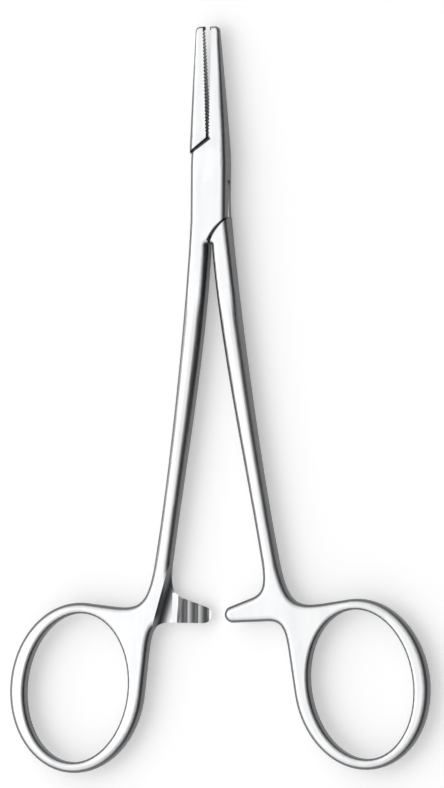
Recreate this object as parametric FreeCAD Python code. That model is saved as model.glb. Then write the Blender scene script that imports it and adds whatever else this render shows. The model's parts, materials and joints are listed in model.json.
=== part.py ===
import FreeCAD, Part
import math
import os

# Straight mosquito forceps: two forged halves, a box lock and one riveted pin.
#
# Millimetres. The instrument lies flat. The origin is on the pin's axis, on the underside
# of the box lock. +Y runs to the tips, +X to the right, +Z up along the pin.
# The female half stays still: left ring, left shank, the two cheeks of the box, right jaw.
# The male half turns: right ring, right shank, the waist inside the box, left jaw.
# Both halves are drawn with the jaws shut, and the male half is then opened.

# Lengths along the instrument, measured from the pin
TIP_REACH = 27.2
JAW_CROTCH = 8.5
SHANK_CROTCH = 9.3
SPINDLE_FOOT = 16.0
SHANK_LOW_REACH = 62.0
ARM_BELOW_SHANK = 9.1
RING_BELOW_ARM = 12.5
ARM_REACH = SHANK_LOW_REACH + ARM_BELOW_SHANK
RING_REACH = ARM_REACH + RING_BELOW_ARM

# Box lock
LOCK_THICKNESS = 4.6
LOCK_HALF_WIDTH = 3.1
LOCK_FLAT_HALF_LENGTH = 6.5
WAIST_THICKNESS = 1.8
WAIST_SIDE_GAP = 0.05
HUB_GAP = 0.1
UPPER_SEAM_EDGE = 6.1
LOWER_SEAM_EDGE = 4.9
LOWER_SEAM_BOW = 0.35
LOWER_SEAM_RISE = 0.8
SEAM_GAP = 0.08
MATING_GAP = 0.05
PIN_RADIUS = 1.0
PIN_HEAD_RADIUS = 1.3
PIN_HEAD_DEPTH = 0.35
PIN_RUNNING_GAP = 0.04
OPEN_AT_REST = 3.0
OPEN_MOST = 50.0

# Jaws
JAW_ROOT_HALF_WIDTH = 2.85
JAW_TIP_HALF_WIDTH = 1.35
JAW_TIP_CORNER = 0.75
JAW_TIP_THICKNESS = 1.5
JAW_ROOT_THICKNESS = 4.0
SERRATIONS = 31
SERRATION_DEPTH = 0.2
SERRATED_FROM_CROTCH = 0.8
TOOTH_LENGTH = 0.6
TOOTH_HEIGHT = 0.4
TOOTH_HALF_WIDTH = 0.36
NOTCH_SHARE = 0.6
LOCK_STRAIGHT_LENGTH = 3.0
LOCK_PULL = 5.0
JAW_PULL = 8.0
CORNER_PULL = 0.55

# Shanks
SHANK_LOW_WIDTH = 2.85
SHANK_LOW_CENTRE = 7.45
SHANK_TOP_THICKNESS = 4.2
SHANK_TOP_IN_LOCK = 1.0
CROTCH_STRAIGHT = 1.2
CROTCH_HALF_GAP = 0.1
OUTER_TOP_SLOPE = 0.055
OUTER_LOW_SLOPE = 0.15
INNER_TOP_SLOPE = 0.045
INNER_LOW_SLOPE = 0.125

# Rings and ratchet arms
RING_CENTRE = 22.25
RING_HOLE_HALF_WIDTH = 8.8
RING_HOLE_HALF_LENGTH = 12.5
RING_SIDE_WALL = 2.7
RING_END_WALL = 1.8
RING_LEAN = 6.0
HANDLE_THICKNESS = 3.0
ARM_TIP_RADIUS = 1.4
ARM_PAST_CENTRE = 0.6
ARM_ROOT_DEPTH = 4.4
RATCHET_TEETH = 3
RATCHET_PITCH = 1.85
RATCHET_FIRST_CREST = 2.1
RATCHET_CREST = 0.25
RATCHET_ROOT = 0.6
RATCHET_SCOOP = 2.3
RATCHET_FACE = 0.15
RATCHET_RAMP = 0.9
RATCHET_LAND = 0.9
SCOOP_LEAN = 0.27
SCOOP_RUN_OUT = 1.6

# Curves that join the handle's straight runs
ARM_TOP_SLOPE = 19.0
ARM_TOP_RUN = 3.9
ARM_TOP_PULL = 2.3
ARM_LOW_RUN = 5.8
ARM_LOW_PULL = 2.6
SHANK_INNER_PULL = 4.4
WEB_SIDE_RUN = 6.8
WEB_SIDE_PULL = 4.2
WEB_OUTER_PULL = 9.8
WEB_RING_PULL = 8.5

# Thickness seen from the side: where its straight runs meet, and the radius at each knee
HANDLE_KNEE = 7.0
TAPER_BELOW_CROTCH = 1.5
TAPER_ABOVE_CROTCH = 0.5
PROFILE_KNEES = [400.0, 20.0, 20.0, 10.0, 15.0]

# Edge roundings
RING_HOLE_ROUND = 0.7
SPINDLE_ROUND = 1.0
TIP_ROUND = 0.5
HANDLE_ROUND = 1.0

# Places that follow from the sizes above
MID_HEIGHT = LOCK_THICKNESS / 2
FAR = 4 * RING_REACH
OVERRUN = 1.0
JOIN_TOLERANCE = 0.01
SAME_PLACE = 1e-6
PARTS_FOLDER = "parts"


def point(x, y, z=0.0):
    """Place or direction."""
    return FreeCAD.Vector(x, y, z)


def edge(a, b):
    """Straight edge."""
    return Part.makeLine(a, b)


def arc(a, middle, b):
    """Round edge through three places."""
    return Part.Arc(a, middle, b).toShape()


def blend(a, leave, b, arrive):
    """Smooth curve from a to b, leaving along one vector and arriving along the other."""
    curve = Part.BezierCurve()
    curve.setPoles([a, a + leave, b - arrive, b])
    return curve.toShape()


def unit(vector):
    """Direction of a vector, one long."""
    return FreeCAD.Vector(vector).normalize()


def rounded_path(corners, radii):
    """Edges of an open path of straight runs, with an arc of its own radius at each knee."""
    edges = []
    start = corners[0]
    for before, knee, after, radius in zip(corners, corners[1:], corners[2:], radii):
        incoming = unit(knee - before)
        outgoing = unit(after - knee)
        half_turn = incoming.getAngle(outgoing) / 2
        reach = radius * math.tan(half_turn)
        arc_start = knee - incoming * reach
        arc_end = knee + outgoing * reach
        to_centre = unit(outgoing - incoming)
        arc_middle = knee + to_centre * (radius / math.cos(half_turn) - radius)
        edges.append(edge(start, arc_start))
        edges.append(arc(arc_start, arc_middle, arc_end))
        start = arc_end
    edges.append(edge(start, corners[-1]))
    return edges


def prism(edges, low=-FAR, high=FAR):
    """Solid that stands on a closed outline in plan, between two heights."""
    face = Part.Face(Part.Wire(edges))
    face.translate(point(0, 0, low))
    return face.extrude(point(0, 0, high - low))


def polygon(corners):
    """Straight edges round a closed outline."""
    return Part.makePolygon(corners + corners[:1]).Edges


def side_profile():
    """Solid as thick at each height of the instrument as the forging is there."""
    upper = [
        point(0, -SHANK_LOW_REACH, HANDLE_THICKNESS / 2),
        point(0, -SHANK_LOW_REACH + HANDLE_KNEE, HANDLE_THICKNESS / 2),
        point(0, -SHANK_CROTCH - TAPER_BELOW_CROTCH, SHANK_TOP_THICKNESS / 2),
        point(0, -LOCK_FLAT_HALF_LENGTH, LOCK_THICKNESS / 2),
        point(0, LOCK_FLAT_HALF_LENGTH, LOCK_THICKNESS / 2),
        point(0, JAW_CROTCH + TAPER_ABOVE_CROTCH, JAW_ROOT_THICKNESS / 2),
        point(0, TIP_REACH, JAW_TIP_THICKNESS / 2),
    ]
    top = rounded_path(upper, PROFILE_KNEES)
    bottom = [piece.mirror(point(0, 0, 0), point(0, 0, 1)) for piece in top]
    ends = [
        edge(upper[0], point(0, upper[0].y, -upper[0].z)),
        edge(upper[-1], point(0, upper[-1].y, -upper[-1].z)),
    ]
    outline = Part.Wire(Part.__sortEdges__(top + bottom + ends))
    face = Part.Face(outline)
    face.translate(point(-FAR, 0, MID_HEIGHT))
    return face.extrude(point(2 * FAR, 0, 0))


def turned(shape, degrees):
    """Copy of a shape turned about the pin's axis."""
    copy = shape.copy()
    copy.rotate(point(0, 0), point(0, 0, 1), degrees)
    return copy


def turned_over(shape):
    """Copy of a shape turned over about the long axis at mid height."""
    copy = shape.copy()
    copy.rotate(point(0, 0, MID_HEIGHT), point(0, 1, 0), 180)
    return copy


def rounded(shape, radius_at, keeps_sharp):
    """Shape with its upper and lower rims rounded, the radius following the place along Y."""
    rims = []
    for number, rim in enumerate(shape.Edges, start=1):
        ends = [vertex.Point for vertex in rim.Vertexes]
        upright = all(abs((ends[0] - end).x) + abs((ends[0] - end).y) < SAME_PLACE for end in ends)
        if (upright and len(ends) == 2) or keeps_sharp(rim):
            continue
        first = rim.valueAt(rim.FirstParameter)
        last = rim.valueAt(rim.LastParameter)
        if rim.isClosed():
            rims.append((number, RING_HOLE_ROUND, RING_HOLE_ROUND))
            continue
        rims.append((number, radius_at(first.y), radius_at(last.y)))
    sheet = FreeCAD.newDocument("rounding")
    blank = sheet.addObject("Part::Feature", "blank")
    blank.Shape = shape
    result = sheet.addObject("Part::Fillet", "result")
    result.Base = blank
    result.Edges = rims
    sheet.recompute()
    finished = result.Shape.copy()
    FreeCAD.closeDocument(sheet.Name)
    return finished


def between(y, low, low_value, high, high_value):
    """Value that runs evenly between two places along Y and stays level outside them."""
    share = min(1.0, max(0.0, (y - low) / (high - low)))
    return low_value + share * (high_value - low_value)


def spindle_round(y):
    """Rounding along the jaws and the lock, finer towards the tips."""
    return between(y, JAW_CROTCH, SPINDLE_ROUND, TIP_REACH - JAW_TIP_CORNER, TIP_ROUND)


def shank_round(y):
    """Rounding along the shank and the handle."""
    return between(y, -SHANK_LOW_REACH, HANDLE_ROUND, -SPINDLE_FOOT, SPINDLE_ROUND)


def shank_curves():
    """Outer and inner edge of the right shank in plan, from the lock down to the handle."""
    outer_top = point(LOCK_HALF_WIDTH, -LOCK_FLAT_HALF_LENGTH + SHANK_TOP_IN_LOCK)
    outer_low = point(SHANK_LOW_CENTRE + SHANK_LOW_WIDTH / 2, -SHANK_LOW_REACH)
    inner_top = point(CROTCH_HALF_GAP, -SHANK_CROTCH - CROTCH_STRAIGHT)
    inner_low = point(SHANK_LOW_CENTRE - SHANK_LOW_WIDTH / 2, -SHANK_LOW_REACH)
    third = (SHANK_LOW_REACH - SHANK_CROTCH) / 3
    outer = Part.BezierCurve()
    outer.setPoles([
        outer_top,
        outer_top + point(OUTER_TOP_SLOPE, -1) * third,
        outer_low - point(OUTER_LOW_SLOPE, -1) * third,
        outer_low,
    ])
    inner = Part.BezierCurve()
    inner.setPoles([
        inner_top,
        inner_top + point(INNER_TOP_SLOPE, -1) * third,
        inner_low - point(INNER_LOW_SLOPE, -1) * third,
        inner_low,
    ])
    return outer, inner


def place_on(curve, y):
    """Parameter of the place where a curve crosses a height along Y."""
    level = Part.Line(point(0, y), point(1, y))
    crossing = curve.intersectCC(level)[0]
    return curve.parameter(point(crossing.X, crossing.Y, crossing.Z))


def mirrored(edges):
    """Copies of edges on the other side of the centre line."""
    return [piece.mirror(point(0, 0), point(1, 0)) for piece in edges]


def spindle():
    """Both jaws, the lock and the tops of both shanks in one solid, jaws shut."""
    outer, inner = shank_curves()
    outer_foot = place_on(outer, -SPINDLE_FOOT)
    inner_foot = place_on(inner, -SPINDLE_FOOT)
    jaw_root = point(JAW_ROOT_HALF_WIDTH, JAW_CROTCH)
    jaw_end = point(JAW_TIP_HALF_WIDTH, TIP_REACH - JAW_TIP_CORNER)
    tip_corner = point(JAW_TIP_HALF_WIDTH - JAW_TIP_CORNER, TIP_REACH)
    slope = unit(jaw_end - jaw_root)
    corner_pull = JAW_TIP_CORNER * CORNER_PULL
    lock_end = point(LOCK_HALF_WIDTH, LOCK_FLAT_HALF_LENGTH - LOCK_STRAIGHT_LENGTH)
    right = [
        outer.toShape(0, outer_foot),
        edge(outer.value(0), lock_end),
        blend(lock_end, point(0, LOCK_PULL), jaw_end, slope * JAW_PULL),
        blend(jaw_end, slope * corner_pull, tip_corner, point(-corner_pull, 0)),
        inner.toShape(0, inner_foot),
        edge(inner.value(0), point(CROTCH_HALF_GAP, -SHANK_CROTCH)),
        edge(inner.value(inner_foot), outer.value(outer_foot)),
    ]
    crotch = arc(
        point(-CROTCH_HALF_GAP, -SHANK_CROTCH),
        point(0, -SHANK_CROTCH + CROTCH_HALF_GAP),
        point(CROTCH_HALF_GAP, -SHANK_CROTCH),
    )
    tip = edge(point(-tip_corner.x, TIP_REACH), tip_corner)
    outline = Part.__sortEdges__(right + mirrored(right) + [crotch, tip])
    blank = prism(outline).common(side_profile())

    def keeps_sharp(rim):
        box = rim.BoundBox
        level = box.YLength < SAME_PLACE
        return level and abs(box.YMin - TIP_REACH) > SAME_PLACE

    return rounded(blank, spindle_round, keeps_sharp)


def ring_place(half_length, half_width, degrees):
    """Point of a ring's ellipse in plan, counted from its top towards the centre line."""
    lean = math.radians(RING_LEAN)
    long_axis = point(-math.sin(lean), math.cos(lean))
    short_axis = point(-math.cos(lean), -math.sin(lean))
    turn = math.radians(degrees)
    centre = point(RING_CENTRE, -RING_REACH)
    return centre + long_axis * (half_length * math.cos(turn)) + short_axis * (half_width * math.sin(turn))


def ring_curve(half_length, half_width):
    """Ellipse of a ring, leaning as the ring does."""
    top = ring_place(half_length, half_width, 0)
    side = ring_place(half_length, half_width, 90)
    return Part.Ellipse(top, side, point(RING_CENTRE, -RING_REACH))


def shank():
    """Right shank between the spindle and the handle."""
    outer, inner = shank_curves()
    outer_foot = place_on(outer, -SPINDLE_FOOT)
    inner_foot = place_on(inner, -SPINDLE_FOOT)
    outline = [
        outer.toShape(outer_foot, 1),
        edge(outer.value(1), inner.value(1)),
        inner.toShape(inner_foot, 1),
        edge(inner.value(inner_foot), outer.value(outer_foot)),
    ]
    blank = prism(Part.__sortEdges__(outline)).common(side_profile())
    return rounded(blank, shank_round, lambda rim: rim.BoundBox.YLength < SAME_PLACE)


def handle():
    """Right handle: web, ring and a ratchet arm of full thickness."""
    outer, inner = shank_curves()
    rim_length = RING_HOLE_HALF_LENGTH + RING_END_WALL
    rim_width = RING_HOLE_HALF_WIDTH + RING_SIDE_WALL
    ring_top = ring_place(rim_length, rim_width, 0)
    ring_side = ring_place(rim_length, rim_width, 90)
    across = unit(ring_place(rim_length, rim_width, 270) - ring_side)
    upwards = point(-across.y, across.x)
    outer_low = outer.value(1)
    inner_low = inner.value(1)
    outer_slope = unit(outer.tangent(1)[0])
    inner_slope = unit(inner.tangent(1)[0])

    tip_centre = point(ARM_TIP_RADIUS - ARM_PAST_CENTRE, -ARM_REACH)
    arm_slope = math.radians(ARM_TOP_SLOPE)
    arm_along = point(math.cos(arm_slope), math.sin(arm_slope))
    arm_top_tip = tip_centre + point(-arm_along.y, arm_along.x) * ARM_TIP_RADIUS
    arm_top_root = arm_top_tip + arm_along * ARM_TOP_RUN
    arm_low_tip = tip_centre + point(0, -ARM_TIP_RADIUS)
    arm_low_root = arm_low_tip + point(ARM_LOW_RUN, 0)
    web_side = ring_side + upwards * WEB_SIDE_RUN

    outline = [
        edge(inner_low, outer_low),
        blend(outer_low, outer_slope * WEB_OUTER_PULL, ring_top, across * WEB_RING_PULL),
        Part.ArcOfEllipse(ring_curve(rim_length, rim_width), math.radians(90), math.radians(360)).toShape(),
        edge(ring_side, web_side),
        blend(web_side, upwards * WEB_SIDE_PULL, arm_low_root, point(-ARM_LOW_PULL, 0)),
        edge(arm_low_root, arm_low_tip),
        arc(arm_low_tip, tip_centre + point(-ARM_TIP_RADIUS, 0), arm_top_tip),
        edge(arm_top_tip, arm_top_root),
        blend(arm_top_root, arm_along * ARM_TOP_PULL, inner_low, inner_slope * -SHANK_INNER_PULL),
    ]
    low = MID_HEIGHT - HANDLE_THICKNESS / 2
    high = MID_HEIGHT + HANDLE_THICKNESS / 2
    hole = Part.ArcOfEllipse(ring_curve(RING_HOLE_HALF_LENGTH, RING_HOLE_HALF_WIDTH), 0, 2 * math.pi)
    blank = prism(Part.__sortEdges__(outline), low, high).cut(prism([hole.toShape()], low, high))

    def at_the_shank(rim):
        box = rim.BoundBox
        return box.YLength < SAME_PLACE and abs(box.YMin + SHANK_LOW_REACH) < SAME_PLACE

    return rounded(blank, shank_round, at_the_shank)


def serrated_line(side):
    """Plan line between the shut jaws, moved aside by half the gap, from the crotch to the tip tooth."""
    start = JAW_CROTCH + SERRATED_FROM_CROTCH
    pitch = (TIP_REACH - TOOTH_LENGTH - start) / SERRATIONS
    corners = [point(side, start)]
    for count in range(SERRATIONS):
        corners.append(point(side + SERRATION_DEPTH / 2, start + (count + 0.25) * pitch))
        corners.append(point(side - SERRATION_DEPTH / 2, start + (count + 0.75) * pitch))
    corners.append(point(side, TIP_REACH - TOOTH_LENGTH))
    return corners


def upper_region(side, seam_gap):
    """Left jaw and everything above the upper seam, as a solid that reaches far out to the left."""
    seam_start = point(-LOCK_HALF_WIDTH, UPPER_SEAM_EDGE)
    along = unit(point(0, JAW_CROTCH) - seam_start)
    base = seam_start + point(-along.y, along.x) * seam_gap
    crotch = base + along * ((side - base.x) / along.x)
    far_left = base - along * LOCK_HALF_WIDTH
    line = serrated_line(side)
    top = line[-1]
    return prism(polygon([crotch] + line + [point(far_left.x, top.y), far_left]))


def tip_region(side):
    """Tip of the left jaw: two teeth with a notch between them that takes the single tooth."""
    low = TIP_REACH - TOOTH_LENGTH
    steps = [(-4, 0), (-2, 0), (-1, NOTCH_SHARE), (0, -1), (1, NOTCH_SHARE), (2, 0), (4, 0)]
    teeth = [
        point(side + TOOTH_HEIGHT * share, low, MID_HEIGHT + TOOTH_HALF_WIDTH * step)
        for step, share in steps
    ]
    outer = -2 * LOCK_HALF_WIDTH
    corners = teeth + [point(outer, low, teeth[-1].z), point(outer, low, teeth[0].z)]
    face = Part.Face(Part.Wire(polygon(corners)))
    return face.extrude(point(0, 2 * TOOTH_LENGTH, 0))


def lower_region(side, seam_gap):
    """Right shank and everything below the lower seam, as a solid that reaches far out."""
    seam_edge = point(LOCK_HALF_WIDTH, -LOWER_SEAM_EDGE - seam_gap)
    seam_end = point(side, -SHANK_CROTCH + LOWER_SEAM_RISE - seam_gap)
    middle = (seam_edge + seam_end) * 0.5
    along = unit(seam_edge - seam_end)
    middle = middle + point(along.y, -along.x) * -LOWER_SEAM_BOW
    far = 2 * LOCK_HALF_WIDTH
    inner_foot = point(side, -2 * SPINDLE_FOOT)
    outer_foot = point(far, inner_foot.y)
    outer_top = point(far, seam_edge.y + LOCK_HALF_WIDTH / 2)
    edges = [
        arc(seam_edge, middle, seam_end),
        edge(seam_end, inner_foot),
        edge(inner_foot, outer_foot),
        edge(outer_foot, outer_top),
        edge(outer_top, seam_edge),
    ]
    return prism(edges)


def box_wall(side):
    """Wall inside the box at the upper right: it stops the jaws shut and the shanks wide open."""
    stop = math.radians(OPEN_MOST)
    reach = LOCK_HALF_WIDTH + MATING_GAP
    corner = point(side, (reach - side * math.cos(stop)) / math.sin(stop))
    along = point(math.sin(stop), -math.cos(stop))
    far = corner + along * 3 * LOCK_HALF_WIDTH
    return prism(polygon([corner, far, point(far.x, 2 * JAW_CROTCH), point(side, 2 * JAW_CROTCH)]))


def pin_bore(radius):
    """What is drilled for the pin's shaft."""
    return Part.makeCylinder(radius, LOCK_THICKNESS + 2 * OVERRUN, point(0, 0, -OVERRUN))


def pin_shape():
    """Riveted pin: a shaft whose two spread heads fill countersinks and lie flush."""
    half = [
        point(0, 0, 0),
        point(PIN_HEAD_RADIUS, 0, 0),
        point(PIN_RADIUS, 0, PIN_HEAD_DEPTH),
        point(PIN_RADIUS, 0, LOCK_THICKNESS - PIN_HEAD_DEPTH),
        point(PIN_HEAD_RADIUS, 0, LOCK_THICKNESS),
        point(0, 0, LOCK_THICKNESS),
    ]
    return Part.Face(Part.Wire(polygon(half))).revolve(point(0, 0), point(0, 0, 1), 360)


def box_slot():
    """Slot through the box lock that the waist passes through and turns in."""
    slot_height = WAIST_THICKNESS + 2 * WAIST_SIDE_GAP
    width = 4 * LOCK_HALF_WIDTH
    length = JAW_CROTCH + SHANK_CROTCH
    corner = point(-width / 2, -SHANK_CROTCH, MID_HEIGHT - slot_height / 2)
    slot = Part.makeBox(width, length, slot_height, corner)
    wall = box_wall(MATING_GAP / 2)
    return slot.cut(wall).cut(turned(wall, 180))


def waist():
    """Thin middle of the male half: a hub round the pin and a stem to its jaw and to its shank."""
    low = MID_HEIGHT - WAIST_THICKNESS / 2
    side = MATING_GAP / 2
    far = 2 * LOCK_HALF_WIDTH
    stem = Part.makeBox(far - side, JAW_CROTCH, WAIST_THICKNESS, point(-far, 0, low))
    shank_stem = Part.makeBox(far - side, SHANK_CROTCH, WAIST_THICKNESS, point(side, -SHANK_CROTCH, low))
    hub = Part.makeCylinder(LOCK_HALF_WIDTH - HUB_GAP, WAIST_THICKNESS, point(0, 0, low))
    return stem.fuse([shank_stem, hub])


def ratchet_cutter():
    """What is milled from the right arm: the far half of its thickness, up to three saw teeth."""
    tip = -ARM_PAST_CENTRE
    root_level = MID_HEIGHT + RATCHET_ROOT
    crest_level = MID_HEIGHT - RATCHET_CREST
    corners = [point(tip - OVERRUN, 0, -OVERRUN), point(tip - OVERRUN, 0, root_level)]
    for count in range(RATCHET_TEETH):
        crest = tip + RATCHET_FIRST_CREST + count * RATCHET_PITCH
        corners.append(point(crest - RATCHET_PITCH * RATCHET_RAMP, 0, root_level))
        corners.append(point(crest, 0, crest_level))
        corners.append(point(crest + RATCHET_FACE, 0, root_level))
    scoop_start = corners[-1].x + RATCHET_LAND
    corners += [point(scoop_start, 0, root_level), point(scoop_start, 0, -OVERRUN)]
    profile = Part.Face(Part.Wire(polygon(corners)))
    length = ARM_ROOT_DEPTH + 2 * ARM_TIP_RADIUS
    profile.translate(point(0, -ARM_REACH - length / 2, 0))
    teeth = profile.extrude(point(0, length, 0))
    lean = unit(point(-SCOOP_LEAN, 1, 0))
    below = ARM_TIP_RADIUS + SCOOP_RUN_OUT
    scoop_foot = point(scoop_start + below * SCOOP_LEAN, -ARM_REACH - below, root_level - RATCHET_SCOOP)
    scoop = Part.makeCylinder(RATCHET_SCOOP, 2 * length, scoop_foot, lean)
    return teeth.fuse(scoop)


def female_half(closed, lower_end):
    """Half with the box: what the male half leaves of the forging, with the left handle."""
    side = MATING_GAP / 2
    body = closed.cut(upper_region(side, 0)).cut(tip_region(side))
    body = body.cut(lower_region(-side, 0)).cut(box_slot())
    body = body.cut(pin_shape())
    return body.multiFuse([turned_over(lower_end)], JOIN_TOLERANCE)


def male_half(closed, lower_end):
    """Half with the waist, cut clear of the box by its gaps and opened to the rest pose."""
    side = MATING_GAP / 2
    keep = upper_region(-side, SEAM_GAP).fuse([tip_region(-side), lower_region(side, SEAM_GAP), waist()])
    body = closed.common(keep).cut(pin_bore(PIN_RADIUS + PIN_RUNNING_GAP))
    whole = body.multiFuse([lower_end], JOIN_TOLERANCE)
    return turned(whole, OPEN_AT_REST)


def write(name, shape):
    """Saves one piece and prints what it is."""
    solids = shape.Solids
    if len(solids) == 1:
        shape = solids[0]
    shape.exportStep(os.path.join(PARTS_FOLDER, name + ".step"))
    print(name, "solids", len(solids), "valid", shape.isValid(), "volume", round(shape.Volume, 2))


def build():
    """Makes the three pieces."""
    os.makedirs(PARTS_FOLDER, exist_ok=True)
    closed = spindle()
    lower_end = shank().multiFuse([handle()], JOIN_TOLERANCE).cut(ratchet_cutter())
    write("female_half", female_half(closed, lower_end))
    write("male_half", male_half(closed, lower_end))
    write("lock_pin", pin_shape())


build()
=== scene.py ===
"""Finishes, studio and camera for straight mosquito forceps lying on a pale table, tips up in the picture."""
import json
import logging
import math
from dataclasses import dataclass, field
from enum import Enum
from typing import Any, Optional, Union

import bmesh
import bpy
from mathutils import Matrix, Vector

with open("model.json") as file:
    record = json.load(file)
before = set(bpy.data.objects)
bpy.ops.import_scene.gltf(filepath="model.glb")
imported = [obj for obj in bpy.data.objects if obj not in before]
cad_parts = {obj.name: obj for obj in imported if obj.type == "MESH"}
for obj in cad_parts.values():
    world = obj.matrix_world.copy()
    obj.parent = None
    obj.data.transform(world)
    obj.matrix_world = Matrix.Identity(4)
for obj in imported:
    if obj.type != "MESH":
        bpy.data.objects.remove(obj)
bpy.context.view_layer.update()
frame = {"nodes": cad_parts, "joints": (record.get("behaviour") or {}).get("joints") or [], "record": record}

logging.basicConfig(level=logging.INFO, format="%(name)s: %(message)s")
log = logging.getLogger("forceps")

MM = 0.001
NOISE_DETAIL = 2.0
WHITE = (1.0, 1.0, 1.0, 1.0)

Number = Union[int, float]
Value = Union["Channel", Number]
Colour = tuple[float, float, float]


class Half(Enum):
    """The two forged halves, named as in the frame."""

    FEMALE = "female_half"
    MALE = "male_half"


class Channel:
    """A shader socket that can stand in Python sums, where each step adds its Math node."""

    def __init__(self, sheet: "NodeSheet", socket: Optional[bpy.types.NodeSocket]) -> None:
        """Wraps one output socket.

        Args:
            sheet: the node sheet that new nodes go on.
            socket: the output socket, or None for a node that has no outputs.
        """
        self.sheet = sheet
        self.socket = socket

    def _sum(self, operation: str, first: Value, second: Value = 0.0) -> "Channel":
        """Adds one Math node and returns its result."""
        return self.sheet.add("Math", {"operation": operation}, {0: first, 1: second})

    def __add__(self, other: Value) -> "Channel":
        """Returns self + other."""
        return self._sum("ADD", self, other)

    def __radd__(self, other: Value) -> "Channel":
        """Returns other + self."""
        return self._sum("ADD", other, self)

    def __sub__(self, other: Value) -> "Channel":
        """Returns self - other."""
        return self._sum("SUBTRACT", self, other)

    def __rsub__(self, other: Value) -> "Channel":
        """Returns other - self."""
        return self._sum("SUBTRACT", other, self)

    def __mul__(self, other: Value) -> "Channel":
        """Returns self * other."""
        return self._sum("MULTIPLY", self, other)

    def __rmul__(self, other: Value) -> "Channel":
        """Returns other * self."""
        return self._sum("MULTIPLY", other, self)

    def __truediv__(self, other: Value) -> "Channel":
        """Returns self / other."""
        return self._sum("DIVIDE", self, other)

    def __rtruediv__(self, other: Value) -> "Channel":
        """Returns other / self."""
        return self._sum("DIVIDE", other, self)

    def __pow__(self, other: Value) -> "Channel":
        """Returns self to the power of other."""
        return self._sum("POWER", self, other)

    def __rpow__(self, other: Value) -> "Channel":
        """Returns other to the power of self."""
        return self._sum("POWER", other, self)

    def __neg__(self) -> "Channel":
        """Returns the value with its sign turned."""
        return self._sum("MULTIPLY", self, -1.0)

    def __abs__(self) -> "Channel":
        """Returns the value without its sign."""
        return self._sum("ABSOLUTE", self)

    def larger(self, other: Value) -> "Channel":
        """Returns the larger of self and other."""
        return self._sum("MAXIMUM", self, other)

    def smaller(self, other: Value) -> "Channel":
        """Returns the smaller of self and other."""
        return self._sum("MINIMUM", self, other)

    def ramp(self, start: float, end: float) -> "Channel":
        """Returns a smooth step between two values.

        Args:
            start: where the result is 0.
            end: where the result is 1, which may be below start.
        Returns:
            A value from 0 to 1.
        """
        low, high = min(start, end), max(start, end)
        step = self.sheet.add(
            "MapRange",
            {"interpolation_type": "SMOOTHSTEP"},
            {"Value": self, "From Min": low, "From Max": high, "To Min": 0.0, "To Max": 1.0},
        )
        return step if end > start else 1 - step


class NodeSheet:
    """The nodes of one material or world."""

    def __init__(self, tree: bpy.types.NodeTree) -> None:
        """Takes over a node tree and clears it.

        Args:
            tree: the tree of a material or world.
        """
        self.tree = tree
        tree.nodes.clear()

    def add(
        self,
        kind: str,
        settings: dict[str, Any],
        sockets: dict[Union[int, str], Any],
        result: Union[int, str] = 0,
    ) -> Channel:
        """Adds any node: its settings first, and then the values or links of its sockets.

        Args:
            kind: the node's type, without its ShaderNode prefix.
            settings: the node's own properties by name.
            sockets: a value or a Channel for each input, by name or number.
            result: the output that is returned.
        Returns:
            The chosen output.
        """
        node = self.tree.nodes.new("ShaderNode" + kind)
        for name, setting in settings.items():
            setattr(node, name, setting)
        for key, value in sockets.items():
            if isinstance(value, Channel):
                self.tree.links.new(value.socket, node.inputs[key])
            else:
                node.inputs[key].default_value = value
        return Channel(self, node.outputs[result] if len(node.outputs) else None)

    def xyz(self, vector: Channel) -> tuple[Channel, Channel, Channel]:
        """Splits a vector into its three numbers."""
        parts = self.add("SeparateXYZ", {}, {0: vector})
        return tuple(Channel(self, output) for output in parts.socket.node.outputs)

    def vector(self, x: Value, y: Value, z: Value) -> Channel:
        """Joins three numbers into a vector."""
        return self.add("CombineXYZ", {}, {0: x, 1: y, 2: z})

    def noise(self, vector: Channel) -> Channel:
        """Returns soft noise from 0 to 1 at a vector, with one patch to each unit."""
        return self.add("TexNoise", {}, {"Vector": vector, "Scale": 1.0, "Detail": NOISE_DETAIL})

    def blend(self, factor: Value, first: Union[Channel, Colour], second: Colour) -> Channel:
        """Returns a colour that goes from first to second as factor goes from 0 to 1."""
        start = first if isinstance(first, Channel) else (*first, 1.0)
        return self.add("Mix", {"data_type": "RGBA"}, {0: factor, 6: start, 7: (*second, 1.0)}, result=2)


@dataclass(frozen=True)
class SatinSteel:
    """Stainless steel, ground and then polished to a fine satin that still shows which way the belt ran."""

    colour: Colour = (0.80, 0.805, 0.81)
    worn_colour: Colour = (0.735, 0.74, 0.75)
    roughness: float = 0.24
    roughness_spread: float = 0.12
    line_pitch: float = 0.09 * MM
    line_length: float = 7 * MM
    cloud_size: float = 2.2 * MM
    cloud_length: float = 12 * MM
    cloud_starts: float = 0.35
    cloud_full: float = 0.75
    line_share: float = 0.6
    bump_strength: float = 0.6
    bump_depth: float = 0.0012 * MM


@dataclass(frozen=True)
class DullSideWithPaintedShade:
    """The narrow side faces and the cut teeth: painted shade, a darker colour that stands in for the dark
    reflections the sides catch, and a duller roughness than the polished broad faces.

    It starts and is full where the normal's share along the lock pin has come down to these values.
    """

    # painted shade: the dark colour laid on the upright side faces
    colour: Colour = (0.18, 0.183, 0.19)
    roughness: float = 0.38
    starts_at: float = 0.965
    full_at: float = 0.70


@dataclass(frozen=True)
class CutFacePaintedShade:
    """Painted shade on the serrated faces, standing in for the shade held in the cut grooves."""

    # painted shade colour for the serrated face
    colour: Colour = (0.10, 0.102, 0.108)


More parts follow.
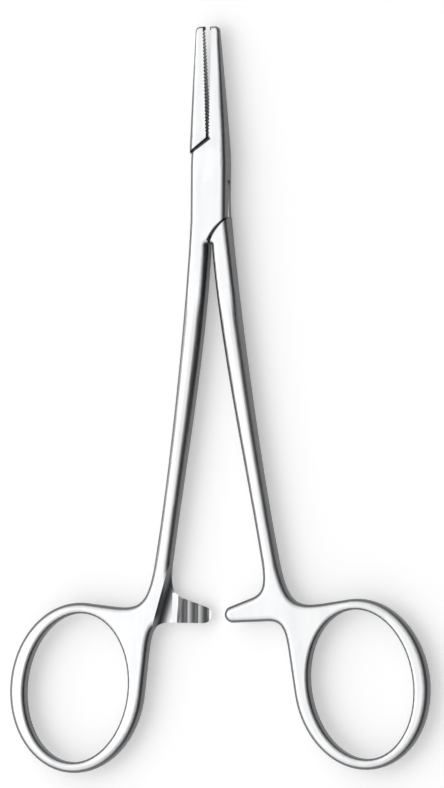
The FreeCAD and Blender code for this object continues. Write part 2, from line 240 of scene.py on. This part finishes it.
@dataclass(frozen=True)
class Seams:
    """The two slanting seams of the box lock, with the lock shut, along which a dark band of painted shade
    stands for the shade in the gap.
    """

    half_width: float = 3.1 * MM
    upper_edge: float = 6.1 * MM
    upper_end: float = 8.5 * MM
    lower_edge: float = -4.9 * MM
    lower_end: float = -8.5 * MM
    lower_bow: float = 0.35 * MM
    upper_shade: float = 0.34 * MM
    lower_shade: float = 0.22 * MM
    male_share: float = 0.4
    soft: float = 0.12 * MM
    upper_run: float = 4.0 * MM
    upper_fade: float = 0.3 * MM
    lower_fade: float = 0.2 * MM
    lower_starts: float = -1.5 * MM
    lower_full: float = -0.5 * MM
    lower_side: float = -1.0 * MM
    # painted shade colour of the band along the seams
    colour: Colour = (0.045, 0.046, 0.05)


@dataclass(frozen=True)
class Ratchet:
    """The saw teeth on the arm, whose long faces are ground a little round."""

    first_crest: float = 1.5 * MM
    pitch: float = 1.85 * MM
    ramp: float = 1.665 * MM
    count: int = 3
    arm_top: float = -66 * MM
    arm_foot: float = -75 * MM
    arm_fade: float = 1.0 * MM
    row_fade: float = 0.02
    milled_starts: float = 0.3
    milled_full: float = 0.5
    slope_change: float = 0.42


@dataclass(frozen=True)
class Crown:
    """The slight crown that belt polishing leaves across a shank's broad faces."""

    height: float = 0.20 * MM
    upper_end: float = -17 * MM
    lower_end: float = -66 * MM
    fade: float = 5 * MM
    measured_band: float = 1.5 * MM


@dataclass
class Steelwork:
    """What the three steel pieces share: the polish, the duller side faces with their painted shade, and the
    shader.
    """

    name: str
    satin: SatinSteel = field(default_factory=SatinSteel)
    side: DullSideWithPaintedShade = field(default_factory=DullSideWithPaintedShade)

    def start(self) -> tuple[bpy.types.Material, NodeSheet, Channel]:
        """Starts the piece's material.

        Returns:
            The material, its empty node sheet, and the Object coordinates on that sheet.
        """
        material = bpy.data.materials.new(self.name + "_steel")
        material.use_nodes = True
        sheet = NodeSheet(material.node_tree)
        return material, sheet, sheet.add("TexCoord", {}, {}, result="Object")

    def belt_lines(self, sheet: NodeSheet, place: Channel) -> Channel:
        """Makes the fine marks of a belt that ran along y.

        Args:
            sheet: the material's nodes.
            place: the coordinates.
        Returns:
            The marks, from 0 to 1.
        """
        x, y, z = sheet.xyz(place)
        pitch = self.satin.line_pitch
        return sheet.noise(sheet.vector(x / pitch, y / self.satin.line_length, z / pitch))

    def fine_bump(self, sheet: NodeSheet, lines: Channel, form: Optional[Channel] = None) -> Channel:
        """Makes the bump of the belt marks.

        Args:
            sheet: the material's nodes.
            lines: the marks, from 0 to 1.
            form: the height in metres of a broader form under the marks.
        Returns:
            The bumped normal.
        """
        satin = self.satin
        sockets = {"Strength": satin.bump_strength, "Distance": satin.bump_depth, "Height": lines}
        if form is not None:
            sockets["Normal"] = sheet.add("Bump", {}, {"Strength": 1.0, "Distance": 1.0, "Height": form})
        return sheet.add("Bump", {}, sockets)

    def side_shade_mask(self, sheet: NodeSheet) -> Channel:
        """Masks the faces that stand upright, which get painted shade and a duller roughness.

        Args:
            sheet: the material's nodes.
        Returns:
            0 on the broad faces, rising over the rounded rims to 1 on the sides.
        """
        normal = sheet.add("TexCoord", {}, {}, result="Normal")
        _, _, up = sheet.xyz(normal)
        return abs(up).ramp(self.side.starts_at, self.side.full_at)

    def finish(self, sheet: NodeSheet, colour: Channel, roughness: Channel, bump: Channel) -> None:
        """Joins colour, roughness and bump in the steel's shader and puts it on the piece.

        Args:
            sheet: the material's nodes.
            colour: the base colour.
            roughness: the roughness.
            bump: the bumped normal.
        """
        shader = sheet.add(
            "BsdfPrincipled",
            {},
            {"Base Color": colour, "Metallic": 1.0, "Roughness": roughness, "Normal": bump},
        )
        sheet.add("OutputMaterial", {}, {"Surface": shader})

    def wear(self, material: bpy.types.Material) -> None:
        """Puts a material on the piece's own node.

        Args:
            material: the finished material.
        """
        node = frame["nodes"][self.name]
        node.data.materials.clear()
        node.data.materials.append(material)
        log.info("%s dressed", self.name)


@dataclass
class ForgedHalf(Steelwork):
    """One half: finger ring, shank, ratchet arm, its part of the lock, and its jaw."""

    ring_centre: Vector = field(default_factory=Vector)
    lean: float = 0.0
    ring_half_width: float = 10.15 * MM
    ring_half_length: float = 13.4 * MM
    ring_grain_full: float = 1.2
    ring_grain_ends: float = 1.45
    ring_middle: float = 0.01
    jaw_root: float = 9.3 * MM
    jaw_root_fade: float = 0.2 * MM
    jaw_face_full: float = 0.30 * MM
    jaw_face_ends: float = 0.42 * MM
    cut: CutFacePaintedShade = field(default_factory=CutFacePaintedShade)
    crown: Crown = field(default_factory=Crown)
    seams: Seams = field(default_factory=Seams)
    ratchet: Ratchet = field(default_factory=Ratchet)

    @property
    def female(self) -> bool:
        """Tells whether this is the half with the box."""
        return self.name == Half.FEMALE.value

    def shank_line(self) -> tuple[float, float, float]:
        """Measures where the shank runs.

        Returns:
            The middle of the shank at y = 0, its lean as x for each y, and half its width.
        """
        mesh, crown = frame["nodes"][self.name].data, self.crown
        rows = []
        for level in (crown.upper_end - crown.fade, crown.lower_end + 2 * crown.fade):
            near = [v.co.x for v in mesh.vertices if abs(v.co.y - level) < crown.measured_band]
            rows.append((level, (min(near) + max(near)) / 2, (max(near) - min(near)) / 2))
        (y0, x0, half0), (y1, x1, half1) = rows
        slope = (x1 - x0) / (y1 - y0)
        return x0 - slope * y0, slope, min(half0, half1)

    def grain(self, sheet: NodeSheet, place: Channel) -> tuple[Channel, Channel]:
        """Makes the belt marks, along the shank and round the ring.

        Args:
            sheet: the material's nodes.
            place: Object coordinates.
        Returns:
            The fine lines and the broad clouding, each from 0 to 1.
        """
        satin = self.satin
        shut = self.shut(sheet, place)
        x, y, z = sheet.xyz(shut)
        centred = sheet.add("VectorMath", {"operation": "SUBTRACT"}, {0: place, 1: tuple(self.ring_centre)})
        rx, ry, rz = sheet.xyz(centred)
        u = rx / self.ring_half_width
        v = ry / self.ring_half_length
        reach = (u * u + v * v) ** 0.5
        away = reach.larger(self.ring_middle)
        turns = self.ring_half_length / satin.line_length
        round_ring = sheet.vector(
            reach * (self.ring_half_width / satin.line_pitch),
            (u / away) * turns + rz / satin.line_pitch,
            (v / away) * turns,
        )
        near_ring = reach.ramp(self.ring_grain_ends, self.ring_grain_full)
        lines = self.belt_lines(sheet, shut) * (1 - near_ring) + sheet.noise(round_ring) * near_ring
        broad = sheet.vector(x / satin.cloud_size, y / satin.cloud_length, z / satin.cloud_size)
        return lines, sheet.noise(broad)

    def crowned(self, sheet: NodeSheet, place: Channel) -> Channel:
        """Works out the crown's height across the shank.

        Args:
            sheet: the material's nodes.
            place: Object coordinates.
        Returns:
            The height in metres, 0 off the shank.
        """
        crown = self.crown
        middle, slope, half = self.shank_line()
        x, y, _ = sheet.xyz(place)
        off = abs(x - (y * slope + middle)).smaller(half)
        here = y.ramp(crown.upper_end, crown.upper_end - crown.fade)
        here = here * y.ramp(crown.lower_end, crown.lower_end + crown.fade)
        return here * (off * off) * (-crown.height / (half * half))

    def shut(self, sheet: NodeSheet, place: Channel) -> Channel:
        """Turns Object coordinates to where the half lies with the jaws shut."""
        return sheet.add("Mapping", {"vector_type": "POINT"}, {0: place, "Rotation": (0, 0, self.lean)})

    def painted_seam_shade(self, sheet: NodeSheet, place: Channel) -> Channel:
        """Masks the painted shade along the two seams.

        Args:
            sheet: the material's nodes.
            place: Object coordinates.
        Returns:
            1 beside a seam and 0 elsewhere.
        """
        seams = self.seams
        x, y, _ = sheet.xyz(self.shut(sheet, place))
        share = 1.0 if self.female else seams.male_share
        start = Vector((-seams.half_width, seams.upper_edge))
        along = (Vector((0.0, seams.upper_end)) - start).normalized()
        off = abs((x - start.x) * along.y - (y - start.y) * along.x)
        run = (x - start.x) * along.x + (y - start.y) * along.y
        reach = seams.upper_shade * share
        upper = off.ramp(reach + seams.soft, reach - seams.soft)
        upper = upper * run.ramp(-2 * seams.soft, 0.0)
        upper = upper * run.ramp(seams.upper_run + seams.upper_fade, seams.upper_run)
        edge = Vector((seams.half_width, seams.lower_edge))
        end = Vector((0.0, seams.lower_end))
        chord = edge - end
        sideways = Vector((chord.y, -chord.x)).normalized()
        radius = (chord.length**2 / 4 + seams.lower_bow**2) / (2 * seams.lower_bow)
        centre = (edge + end) / 2 + sideways * (radius - seams.lower_bow)
        from_centre = ((x - centre.x) ** 2 + (y - centre.y) ** 2) ** 0.5
        reach = seams.lower_shade * share
        lower = abs(from_centre - radius).ramp(reach + seams.soft, reach - seams.soft)
        lower = lower * y.ramp(seams.lower_end - seams.lower_fade, seams.lower_end)
        lower = lower * x.ramp(seams.lower_starts, seams.lower_full)
        return upper.larger(lower * y.ramp(0.0, seams.lower_side))

    def tooth_round(self, sheet: NodeSheet, place: Channel) -> Channel:
        """Works out how far the teeth's long faces stand rounded.

        Args:
            sheet: the material's nodes.
            place: Object coordinates.
        Returns:
            The height in metres, 0 off the ratchet.
        """
        ratchet = self.ratchet
        x, y, _ = sheet.xyz(self.shut(sheet, place))
        toward_tip = x + ratchet.first_crest if self.female else ratchet.first_crest - x
        steps = (toward_tip + (ratchet.count - 1) * ratchet.pitch) / ratchet.pitch
        whole = sheet.add("Math", {"operation": "FLOOR"}, {0: steps})
        share = ((steps - whole) * (ratchet.pitch / ratchet.ramp)).smaller(1.0)
        here = steps.ramp(-ratchet.row_fade, 0.0)
        here = here * steps.ramp(ratchet.count + ratchet.row_fade, ratchet.count)
        here = here * y.ramp(ratchet.arm_foot, ratchet.arm_foot + ratchet.arm_fade)
        here = here * y.ramp(ratchet.arm_top, ratchet.arm_top - ratchet.arm_fade)
        _, _, up = sheet.xyz(sheet.add("TexCoord", {}, {}, result="Normal"))
        milled_side = up if self.female else -up
        here = here * milled_side.ramp(ratchet.milled_starts, ratchet.milled_full)
        return here * (share - share * share) * (ratchet.ramp * ratchet.slope_change)

    def serrated(self, sheet: NodeSheet, place: Channel) -> Channel:
        """Masks the serrated jaw face, where shade is painted.

        Args:
            sheet: the material's nodes.
            place: Object coordinates.
        Returns:
            1 on the cut face and 0 elsewhere.
        """
        x, y, _ = sheet.xyz(self.shut(sheet, place))
        near_face = abs(x).ramp(self.jaw_face_ends, self.jaw_face_full)
        on_jaw = y.ramp(self.jaw_root - self.jaw_root_fade, self.jaw_root + self.jaw_root_fade)
        return near_face * on_jaw

    def dress(self) -> None:
        """Gives the half its steel, with painted shade on the sides, the serrated jaw face and the seams."""
        satin, side = self.satin, self.side
        material, sheet, place = self.start()
        lines, cloud = self.grain(sheet, place)
        teeth = self.serrated(sheet, place)
        upright = self.side_shade_mask(sheet)
        clouded = cloud.ramp(satin.cloud_starts, satin.cloud_full)
        polish = sheet.blend(clouded, satin.colour, satin.worn_colour)
        # painted shade: the upright faces darkened towards the side colour
        side_shaded = sheet.blend(upright, polish, side.colour)
        # painted shade: the upright part of the serrated jaw face darkened
        jaw = sheet.blend(teeth * upright, side_shaded, self.cut.colour)
        # painted shade: a dark band laid along both seams
        colour = sheet.blend(self.painted_seam_shade(sheet, place), jaw, self.seams.colour)
        unevenness = lines * satin.line_share + cloud * (1 - satin.line_share)
        polished = satin.roughness + satin.roughness_spread * unevenness
        roughness = polished * (1 - upright) + side.roughness * upright
        form = self.crowned(sheet, place) + self.tooth_round(sheet, place)
        self.finish(sheet, colour, roughness, self.fine_bump(sheet, lines, form))
        self.wear(material)


@dataclass
class LockPin(Steelwork):
    """The rivet of the box lock, ground flush and polished with it."""

    def dress(self) -> None:
        """Gives the pin its steel, with painted shade on its upright faces."""
        satin = self.satin
        material, sheet, place = self.start()
        lines = self.belt_lines(sheet, place)
        polish = sheet.blend(lines, satin.colour, satin.worn_colour)
        # painted shade on the pin's upright faces
        colour = sheet.blend(self.side_shade_mask(sheet), polish, self.side.colour)
        roughness = satin.roughness + satin.roughness_spread * lines
        self.finish(sheet, colour, roughness, self.fine_bump(sheet, lines))
        self.wear(material)


@dataclass
class Studio:
    """The pale table, the light tent that falls dark on the right, the soft lamp, and the camera above."""

    view_centre: Vector = field(default_factory=lambda: Vector((2.2, -34.19, 2.3)) * MM)
    visible_height: float = 131.6 * MM
    turn: float = math.radians(13.49)
    roll: float = math.radians(0.462)
    lens: float = 500.0
    sensor: float = 36.0
    table_half: float = 1.5
    table_colour: Colour = (0.95, 0.95, 0.95)
    table_glow: float = 0.26
    bright: float = 1.06
    dim: float = 0.05
    bright_until: float = -0.15
    dim_from: float = 0.75
    low_sky: float = 0.45
    low_sky_loss: float = 0.75
    lamp_side: float = 0.5
    lamp_height: float = 0.6
    lamp_left: float = 0.45
    lamp_power: float = 0.7

    def light_sky(self) -> None:
        """Makes the light tent: white overhead and to the left, and falling off to the right and low down."""
        world = bpy.data.worlds.new("light_tent")
        bpy.context.scene.world = world
        world.use_nodes = True
        sheet = NodeSheet(world.node_tree)
        x, _, z = sheet.xyz(sheet.add("TexCoord", {}, {}, result="Generated"))
        shade = x.ramp(self.bright_until, self.dim_from)
        level = self.bright * (1 - shade) + self.dim * shade
        level = level * (1 - self.low_sky_loss * z.ramp(self.low_sky, 0.0))
        sky = sheet.add("Background", {}, {"Color": WHITE, "Strength": level})
        sheet.add("OutputWorld", {}, {"Surface": sky})

    def lay_table(self) -> None:
        """Lays the pale table under the forceps."""
        mesh = bpy.data.meshes.new("table")
        sketch = bmesh.new()
        bmesh.ops.create_grid(sketch, x_segments=1, y_segments=1, size=self.table_half)
        sketch.to_mesh(mesh)
        sketch.free()
        table = bpy.data.objects.new("table", mesh)
        bpy.context.scene.collection.objects.link(table)
        material = bpy.data.materials.new("table_white")
        material.use_nodes = True
        sheet = NodeSheet(material.node_tree)
        path = sheet.add("LightPath", {}, {}).socket.node.outputs
        seen = Channel(sheet, path["Is Camera Ray"])
        for name in ("Is Glossy Ray", "Is Transmission Ray"):
            seen = seen.larger(Channel(sheet, path[name]))
        paint = sheet.add("BsdfDiffuse", {}, {"Color": (*self.table_colour, 1)})
        glow = sheet.add("Emission", {}, {"Color": WHITE, "Strength": seen * self.table_glow})
        sheet.add("OutputMaterial", {}, {"Surface": sheet.add("AddShader", {}, {0: paint, 1: glow})})
        mesh.materials.append(material)

    def hang_lamp(self) -> None:
        """Hangs the soft lamp above and to the left."""
        lamp = bpy.data.lights.new("soft_lamp", "AREA")
        lamp.shape = "SQUARE"
        lamp.size = self.lamp_side
        lamp.energy = self.lamp_power
        holder = bpy.data.objects.new("soft_lamp", lamp)
        bpy.context.scene.collection.objects.link(holder)
        place = self.view_centre + Vector((-self.lamp_left, 0, self.lamp_height))
        holder.location = place
        holder.rotation_mode = "QUATERNION"
        holder.rotation_quaternion = (place - self.view_centre).to_track_quat("Z", "Y")

    def set_camera(self) -> None:
        """Sets the camera above the forceps, turned a little to the right."""
        data = bpy.data.cameras.new("camera")
        data.lens = self.lens
        data.sensor_width = self.sensor
        camera = bpy.data.objects.new("camera", data)
        bpy.context.scene.collection.objects.link(camera)
        back = Vector((math.sin(self.turn), 0, math.cos(self.turn)))
        across = Vector((math.cos(self.turn), 0, -math.sin(self.turn)))
        up = back.cross(across)
        turned = Matrix((across, up, back)).transposed() @ Matrix.Rotation(self.roll, 3, "Z")
        distance = self.visible_height * self.lens / self.sensor
        camera.matrix_world = Matrix.Translation(self.view_centre + back * distance) @ turned.to_4x4()
        bpy.context.scene.camera = camera

    def build(self) -> None:
        """Builds the whole studio."""
        bpy.context.scene.view_settings.view_transform = "Standard"
        self.light_sky()
        self.lay_table()
        self.hang_lamp()
        self.set_camera()
        log.info("studio built")


def mount_place(name: str) -> Vector:
    """Finds one of the frame's mounts.

    Args:
        name: the mount's name.
    Returns:
        Its place in metres.
    """
    for mount in frame["record"]["mounts"]:
        if mount["name"] == name:
            return Vector(mount["pos_m"])
    raise KeyError(name)


def rest_lean() -> float:
    """Returns the turn that shuts the male half from its rest, in radians."""
    return math.radians(frame["joints"][0]["range_deg"][0])


def main() -> None:
    """Dresses the forceps and builds the studio."""
    ForgedHalf(Half.FEMALE.value, ring_centre=mount_place("left_finger_ring")).dress()
    ForgedHalf(Half.MALE.value, ring_centre=mount_place("right_finger_ring"), lean=rest_lean()).dress()
    LockPin("lock_pin").dress()
    Studio().build()


if __name__ == "__main__":
    main()
